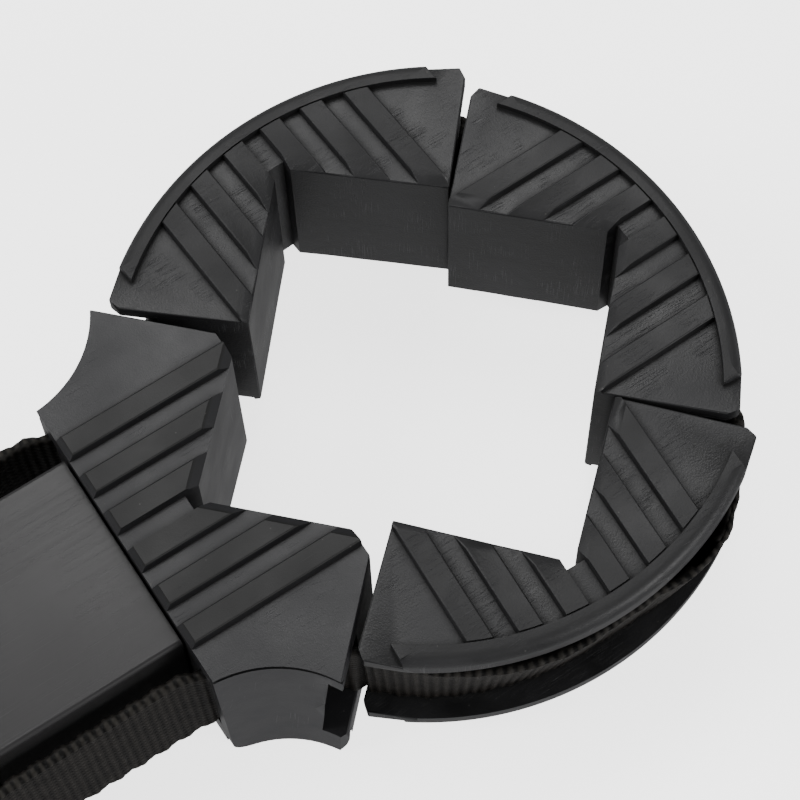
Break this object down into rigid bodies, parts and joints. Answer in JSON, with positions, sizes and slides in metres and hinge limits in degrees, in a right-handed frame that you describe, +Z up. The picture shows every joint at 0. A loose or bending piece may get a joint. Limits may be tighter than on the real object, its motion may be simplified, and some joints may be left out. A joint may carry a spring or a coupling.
{
  "type": "strap clamp with corner jaws",
  "caption": "Band clamp with a fixed corner jaw and loose corner jaws on a woven strap, drawn tight by a screw handle and locked by a cam lever.",
  "frame": {"origin": "centre of the tool's own box, at the bench, without the strap's free end", "axes": "+X along the tool from the handle to the jaws, +Z up from the bench"},
  "size_m": [0.4597, 0.2865, 0.043],
  "materials": {
    "black_steel": "black oxide steel",
    "brass": "sintered bronze and brass",
    "grip_rubber": "soft moulded grip",
    "head_plastic": "glass-filled nylon, moulded, satin",
    "hook_and_loop": "hook and loop tape",
    "housing_paint": "satin dark grey powder coat on pressed aluminium",
    "jaw_plastic": "glass-filled nylon, moulded, fine grain",
    "steel": "turned and zinc plated steel",
    "webbing": "black woven nylon webbing"
  },
  "bodies": {
    "root": {"head_jaw": "head_plastic", "housing_top": "housing_paint", "housing_bottom": "housing_paint", "housing_screws": "black_steel", "end_block": "head_plastic", "front_bush": "brass", "rear_bush": "brass", "strap_wing_left": "webbing", "strap_wing_right": "webbing"},
    "spindle": {"lead_screw": "steel", "front_retaining_ring": "black_steel", "inner_thrust_washer": "steel", "outer_thrust_washer": "steel", "handle_core": "head_plastic", "handle_grip": "grip_rubber", "handle_cap": "head_plastic", "handle_cross_pin": "steel"},
    "carriage": {"travelling_nut": "brass", "carriage": "head_plastic", "anchor_pin": "steel", "cam_pin": "steel", "strap_anchor_loop": "webbing", "strap_in_lock": "webbing", "strap_tail": "webbing", "strap_coil": "webbing", "coil_tie": "hook_and_loop"},
    "lever": {"cam_lever": "head_plastic", "cam_spring": "black_steel"},
    "jaw_left": {"corner_jaw_left": "jaw_plastic", "strap_jaw_left": "webbing"},
    "jaw_far": {"corner_jaw_far": "jaw_plastic", "strap_jaw_far": "webbing"},
    "jaw_right": {"corner_jaw_right": "jaw_plastic", "strap_jaw_right": "webbing"}
  },
  "joints": [
    {"name": "handle_turn", "type": "hinge", "parent": "root", "child": "spindle", "pos_m": [-0.07234, -0.00098, 0.0215], "axis": [-1, 0, 0], "range_deg": [0, 3602]},
    {"name": "carriage_slide", "type": "slide", "parent": "root", "child": "carriage", "axis": [1, 0, 0], "range_m": [0, 0.03]},
    {"name": "lever_open", "type": "hinge", "parent": "carriage", "child": "lever", "pos_m": [-0.01935, -0.03798, 0.022], "axis": [0, 0, 1], "range_deg": [0, 60], "stiffness_Nm_per_rad": 0.05},
    {"name": "left_jaw_slide", "type": "slide", "parent": "root", "child": "jaw_left", "axis": [0.7071, 0.7071, 0], "range_m": [0, 0.0152]},
    {"name": "right_jaw_slide", "type": "slide", "parent": "root", "child": "jaw_right", "axis": [0.7071, -0.7071, 0], "range_m": [0, 0.0152]},
    {"name": "far_jaw_slide", "type": "slide", "parent": "jaw_left", "child": "jaw_far", "axis": [0.7071, -0.7071, 0], "range_m": [0, 0.0152]}
  ],
  "couplings": [
    {"joint": "handle_turn", "follows": "carriage_slide", "rad_per_m": 2094.4},
    {"joint": "left_jaw_slide", "follows": "carriage_slide", "ratio": 0.5},
    {"joint": "right_jaw_slide", "follows": "carriage_slide", "ratio": 0.5},
    {"joint": "far_jaw_slide", "follows": "carriage_slide", "ratio": 0.5}
  ]
}
